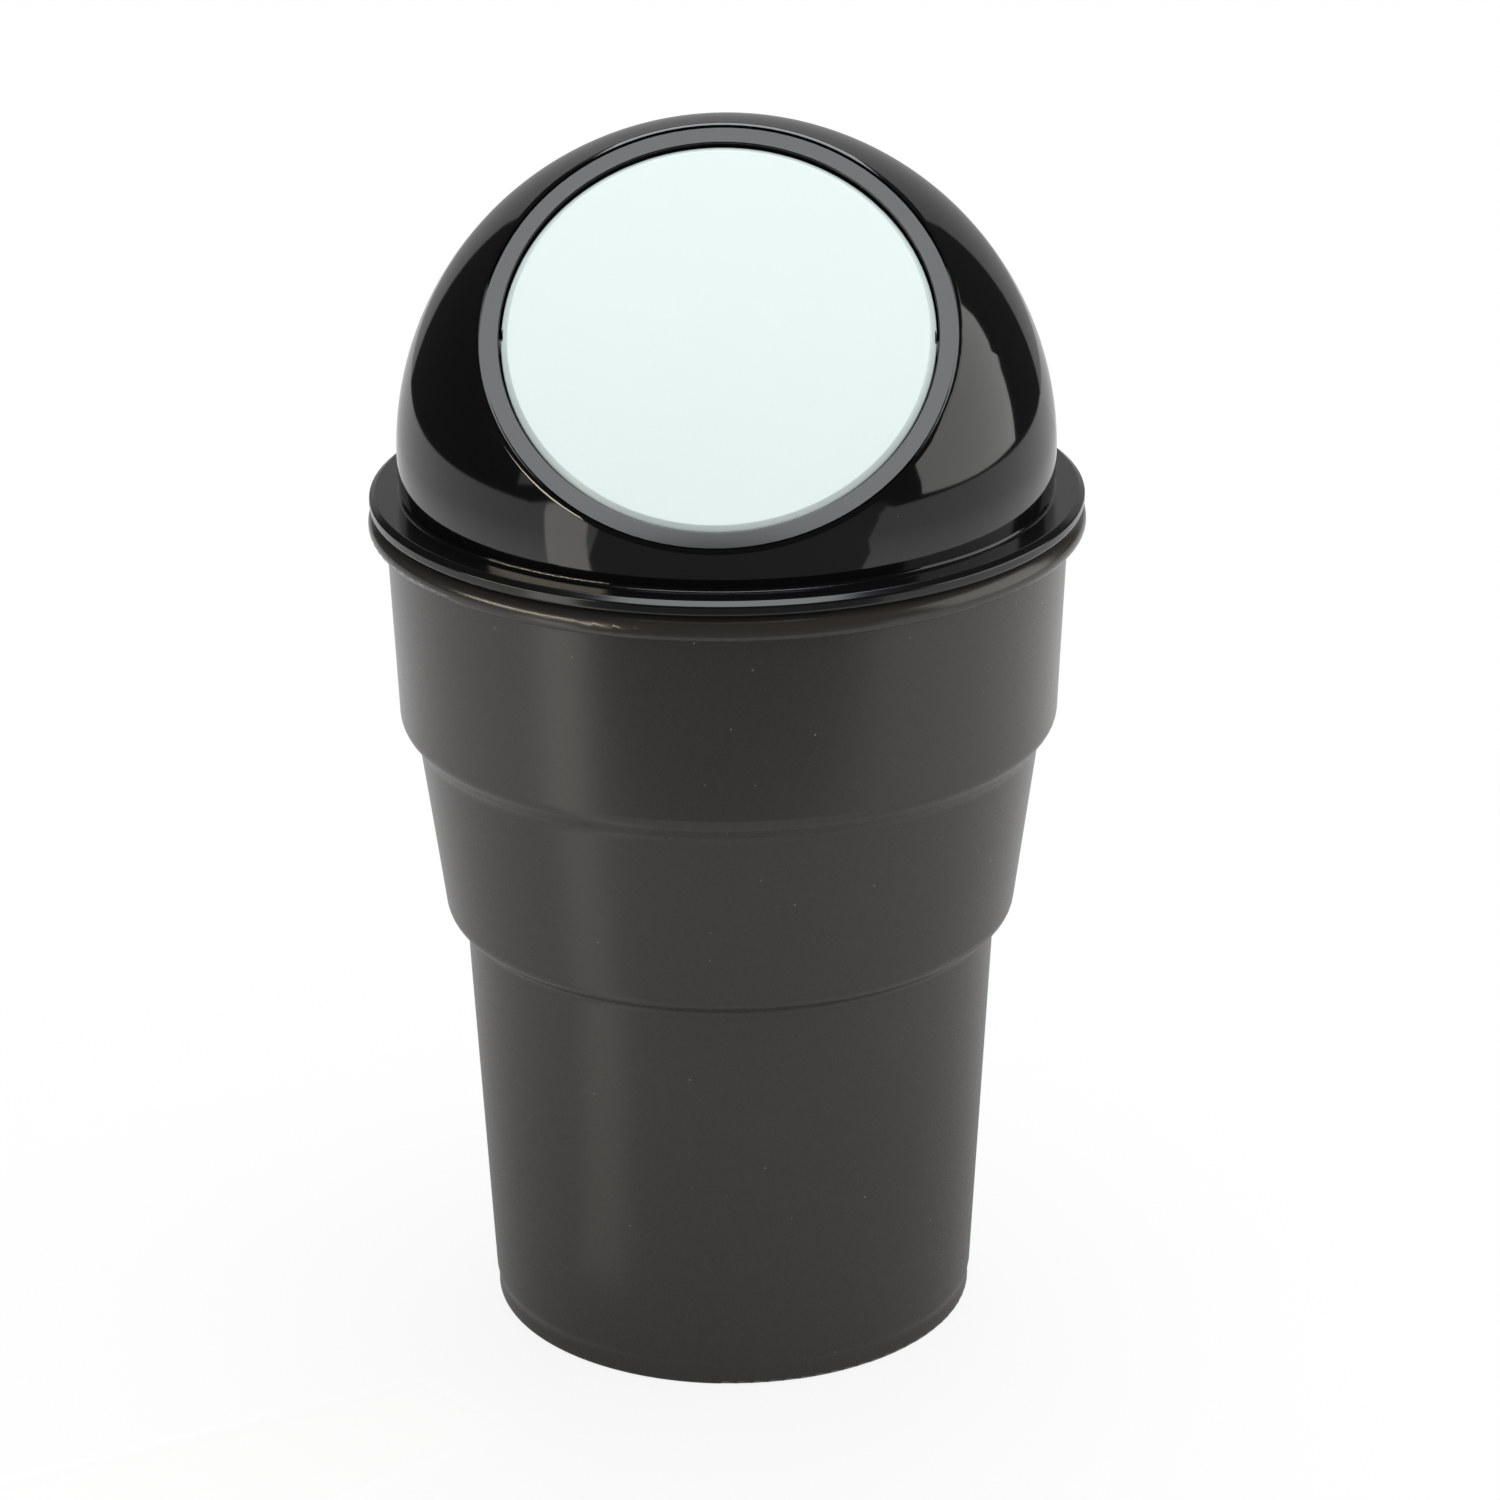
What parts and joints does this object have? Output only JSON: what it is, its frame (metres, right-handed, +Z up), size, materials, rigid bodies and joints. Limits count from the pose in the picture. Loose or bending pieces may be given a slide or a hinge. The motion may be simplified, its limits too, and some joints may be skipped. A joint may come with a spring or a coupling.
{
  "type": "car trash bin",
  "caption": "Stepped round cup for a drink holder, with a domed lift-off lid and a tilted round flap that swings in on a sprung pivot.",
  "frame": {"origin": "centre of the foot ring, on the surface that the bin stands on", "axes": "+Z up along the bin's axis, -Y towards the tilted opening and its flap, +X to the right as seen from the front"},
  "size_m": [0.0904, 0.0904, 0.1577],
  "materials": {
    "cup_plastic": "satin charcoal, fine moulded texture",
    "lid_plastic": "glossy black",
    "flap_plastic": "smooth white with a faint mint cast",
    "spring_steel": "bright drawn wire"
  },
  "bodies": {
    "cup": {"bin_cup": "cup_plastic"},
    "lid": {"dome_lid": "lid_plastic", "return_spring": "spring_steel"},
    "flap": {"swing_flap": "flap_plastic"}
  },
  "joints": [
    {"name": "lid_lift", "type": "slide", "parent": "cup", "child": "lid", "axis": [0, 0, 1], "range_m": [0, 0.06]},
    {"name": "flap_swing", "type": "hinge", "parent": "lid", "child": "flap", "pos_m": [0, -0.01821, 0.13451], "axis": [1, 0, 0], "range_deg": [0, 90], "stiffness_Nm_per_rad": 0.0096, "springref_deg": -29.79, "deforming": ["return_spring"]}
  ]
}
